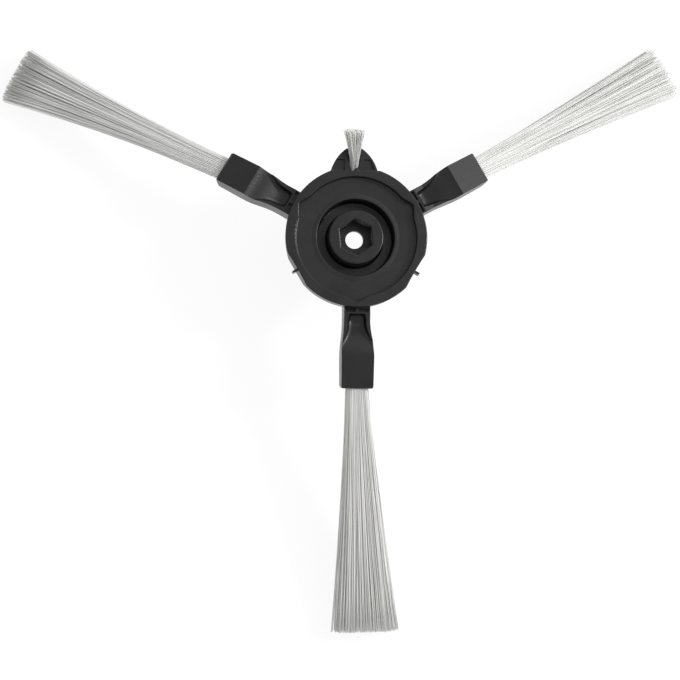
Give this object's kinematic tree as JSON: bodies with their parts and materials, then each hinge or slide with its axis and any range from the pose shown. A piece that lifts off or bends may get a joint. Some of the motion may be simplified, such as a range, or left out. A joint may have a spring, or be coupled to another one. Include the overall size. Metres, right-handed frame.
{
  "type": "robot vacuum side brush",
  "caption": "Round moulded hub with a hexagonal drive socket, sloping arms that end in long pale bristle tufts, and an ear with a short tuft.",
  "frame": {"origin": "on the hub's axis, at the floor of the hexagonal socket, where the screw hole starts", "axes": "+Z along the hub's axis towards the robot, +Y towards the ear with the short tuft, +X to the right seen from the robot"},
  "size_m": [0.1413, 0.1231, 0.0228],
  "materials": {
    "hub_plastic": "moulded black ABS, satin",
    "bristles": "pale nylon filament",
    "anchor_wire": "drawn flat wire"
  },
  "bodies": {
    "root": {"hub_moulding": "hub_plastic", "lower_tuft": "bristles", "right_tuft": "bristles", "left_tuft": "bristles", "short_tuft": "bristles", "lower_tuft_anchor": "anchor_wire", "right_tuft_anchor": "anchor_wire", "left_tuft_anchor": "anchor_wire", "short_tuft_anchor": "anchor_wire"}
  },
  "joints": []
}
